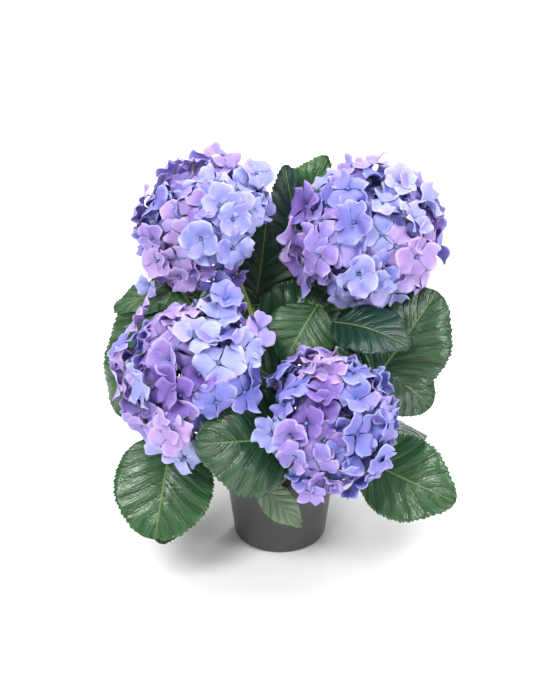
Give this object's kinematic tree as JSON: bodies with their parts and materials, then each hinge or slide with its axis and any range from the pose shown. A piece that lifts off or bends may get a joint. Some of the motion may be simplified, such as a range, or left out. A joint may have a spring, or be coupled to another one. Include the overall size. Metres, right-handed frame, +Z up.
{
  "type": "artificial potted hydrangea",
  "caption": "Potted artificial hydrangea: round blue and lilac blooms on green stems over broad toothed leaves, in a small tapered grey pot filled with cast compound.",
  "frame": {"origin": "centre of the pot's flat underside, where the part stands", "axes": "+Z up, -Y towards the front, +X to the right seen from the front"},
  "size_m": [0.36, 0.3512, 0.4122],
  "materials": {
    "pot": "satin moulded dark grey plastic",
    "fill": "rough dark cast compound",
    "stem": "plastic-coated wire, yellow green",
    "leaf": "coated leaf fabric, glossy dark green with pressed veins",
    "petal": "soft printed petal fabric, periwinkle blue and lilac"
  },
  "bodies": {
    "root": {"pot": "pot", "pot_fill": "fill", "stem_upper_left": "stem", "stem_upper_right": "stem", "stem_lower_left": "stem", "stem_lower_right": "stem", "leaves_left_low": "leaf", "leaves_left": "leaf", "leaves_front": "leaf", "leaves_right_low": "leaf", "leaves_right": "leaf", "leaves_middle": "leaf", "leaves_centre_back": "leaf", "leaves_top": "leaf", "leaves_back_left": "leaf", "leaves_back_right": "leaf", "bloom_upper_left": "petal", "bloom_upper_right": "petal", "bloom_lower_left": "petal", "bloom_lower_right": "petal"}
  },
  "joints": []
}
